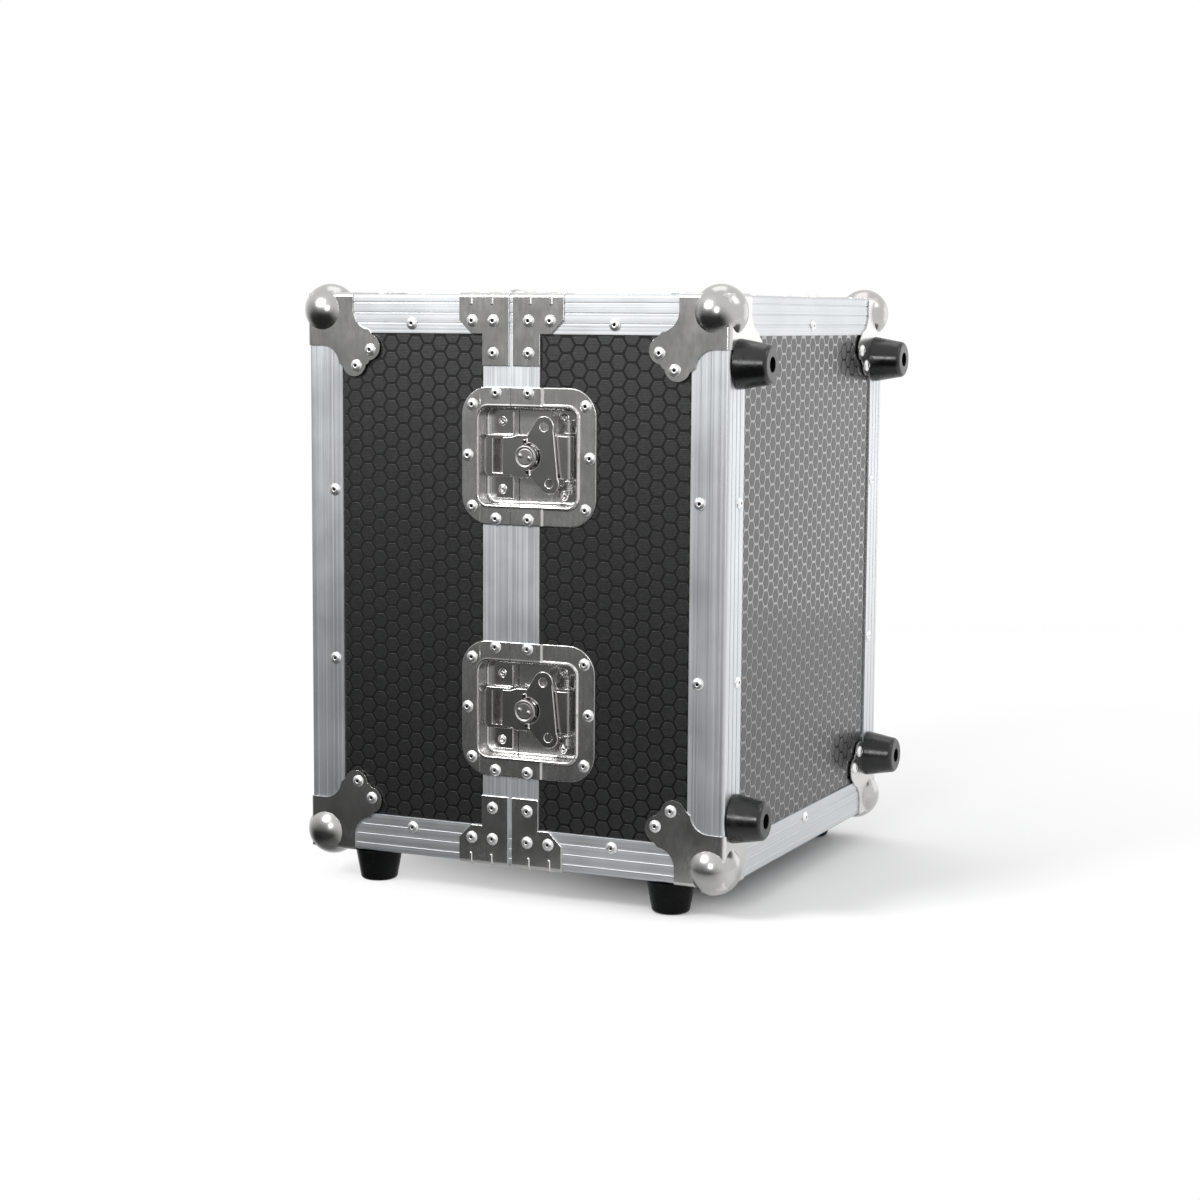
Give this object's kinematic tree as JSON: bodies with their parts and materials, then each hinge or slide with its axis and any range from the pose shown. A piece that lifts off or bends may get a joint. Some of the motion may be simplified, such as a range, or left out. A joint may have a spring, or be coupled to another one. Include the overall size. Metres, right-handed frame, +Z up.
{
  "type": "lighting flight case",
  "caption": "Upright flight case in two hinged halves, with ball corners, recessed turn latches, a let-in handle and rubber feet.",
  "frame": {"origin": "middle of the box around the closed case, at the level of the tips of the bottom feet", "axes": "+Z up, -Y is the front with the latches, +X is the side with four feet"},
  "size_m": [0.3899, 0.366, 0.474],
  "materials": {
    "hex_laminate": "black laminated plywood, raised matt hexagons in glossy grooves",
    "ribbed_aluminium": "extruded aluminium with rolled grooves",
    "brushed_aluminium": "fine brushed aluminium",
    "corner_steel": "polished zinc plated steel",
    "brace_steel": "satin zinc plated steel",
    "foot_rubber": "moulded rubber with a soft sheen",
    "screw_steel": "dark plated steel",
    "rivet_steel": "bright domed rivet heads",
    "foam": "open cell foam",
    "hinge_steel": "satin plated steel",
    "pin_steel": "bright steel pin",
    "dish_steel": "pressed satin steel",
    "grip_rubber": "ribbed rubber grip",
    "spring_steel": "drawn spring wire",
    "latch_steel": "satin stamped steel",
    "wing_steel": "satin stamped steel"
  },
  "bodies": {
    "root": {"base_side_panel": "hex_laminate", "base_front_panel": "hex_laminate", "base_back_panel": "hex_laminate", "base_top_panel": "hex_laminate", "base_bottom_panel": "hex_laminate", "base_upright_edges": "ribbed_aluminium", "base_side_edges": "ribbed_aluminium", "base_cross_edges": "ribbed_aluminium", "base_closure_frame": "brushed_aluminium", "base_ball_corners": "corner_steel", "base_brace_plates": "brace_steel", "base_feet": "foot_rubber", "side_feet": "foot_rubber", "base_foot_screws": "screw_steel", "base_rivets": "rivet_steel", "base_foam": "foam", "hinge_base_leaves": "hinge_steel", "hinge_pins": "pin_steel", "handle_dish": "dish_steel", "handle_pin": "pin_steel", "handle_spring": "spring_steel", "upper_dish_base_side": "dish_steel", "upper_bracket": "latch_steel", "upper_pin": "pin_steel", "upper_springs": "spring_steel", "lower_dish_base_side": "dish_steel", "lower_bracket": "latch_steel", "lower_pin": "pin_steel", "lower_springs": "spring_steel"},
    "lid": {"lid_side_panel": "hex_laminate", "lid_front_panel": "hex_laminate", "lid_back_panel": "hex_laminate", "lid_top_panel": "hex_laminate", "lid_bottom_panel": "hex_laminate", "lid_upright_edges": "ribbed_aluminium", "lid_side_edges": "ribbed_aluminium", "lid_cross_edges": "ribbed_aluminium", "lid_closure_frame": "brushed_aluminium", "lid_ball_corners": "corner_steel", "lid_brace_plates": "brace_steel", "lid_feet": "foot_rubber", "lid_foot_screws": "screw_steel", "lid_rivets": "rivet_steel", "lid_foam": "foam", "hinge_lid_leaves": "hinge_steel", "upper_dish_lid_side": "dish_steel", "upper_keeper": "latch_steel", "lower_dish_lid_side": "dish_steel", "lower_keeper": "latch_steel"},
    "grip": {"handle_grip": "grip_rubber"},
    "upper_arm_body": {"upper_arm": "latch_steel"},
    "upper_hook_body": {"upper_hook": "latch_steel"},
    "upper_drum_body": {"upper_drum": "latch_steel"},
    "upper_wing_body": {"upper_wing": "wing_steel"},
    "lower_arm_body": {"lower_arm": "latch_steel"},
    "lower_hook_body": {"lower_hook": "latch_steel"},
    "lower_drum_body": {"lower_drum": "latch_steel"},
    "lower_wing_body": {"lower_wing": "wing_steel"}
  },
  "joints": [
    {"name": "lid_hinge", "type": "hinge", "parent": "root", "child": "lid", "pos_m": [-0.009, 0.1789, 0.246], "axis": [0, 0, -1], "range_deg": [0, 110]},
    {"name": "handle_lift", "type": "hinge", "parent": "root", "child": "grip", "pos_m": [0.0535, 0, 0.4585], "axis": [0, -1, 0], "range_deg": [0, 90]},
    {"name": "upper_arm_swing", "type": "hinge", "parent": "root", "child": "upper_arm_body", "pos_m": [0.0355, -0.1665, 0.3435], "axis": [0, 0, 1], "range_deg": [0, 100]},
    {"name": "upper_drum_turn", "type": "hinge", "parent": "upper_arm_body", "child": "upper_drum_body", "pos_m": [0.0035, -0.175, 0.3435], "axis": [0, -1, 0], "range_deg": [0, 180]},
    {"name": "upper_hook_slide", "type": "slide", "parent": "upper_arm_body", "child": "upper_hook_body", "axis": [-1, 0, 0], "range_m": [0, 0.008]},
    {"name": "upper_wing_flip", "type": "hinge", "parent": "upper_drum_body", "child": "upper_wing_body", "pos_m": [0.0035, -0.1734, 0.3435], "axis": [0.1045, 0, -0.9945], "range_deg": [0, 90]},
    {"name": "lower_arm_swing", "type": "hinge", "parent": "root", "child": "lower_arm_body", "pos_m": [0.0355, -0.1665, 0.1485], "axis": [0, 0, 1], "range_deg": [0, 100]},
    {"name": "lower_drum_turn", "type": "hinge", "parent": "lower_arm_body", "child": "lower_drum_body", "pos_m": [0.0035, -0.175, 0.1485], "axis": [0, -1, 0], "range_deg": [0, 180]},
    {"name": "lower_hook_slide", "type": "slide", "parent": "lower_arm_body", "child": "lower_hook_body", "axis": [-1, 0, 0], "range_m": [0, 0.008]},
    {"name": "lower_wing_flip", "type": "hinge", "parent": "lower_drum_body", "child": "lower_wing_body", "pos_m": [0.0035, -0.1734, 0.1485], "axis": [0.1045, 0, -0.9945], "range_deg": [0, 90]}
  ],
  "couplings": [
    {"joint": "upper_hook_slide", "follows": "upper_drum_turn", "m_per_rad": 0.0025464},
    {"joint": "lower_hook_slide", "follows": "lower_drum_turn", "m_per_rad": 0.0025464}
  ]
}
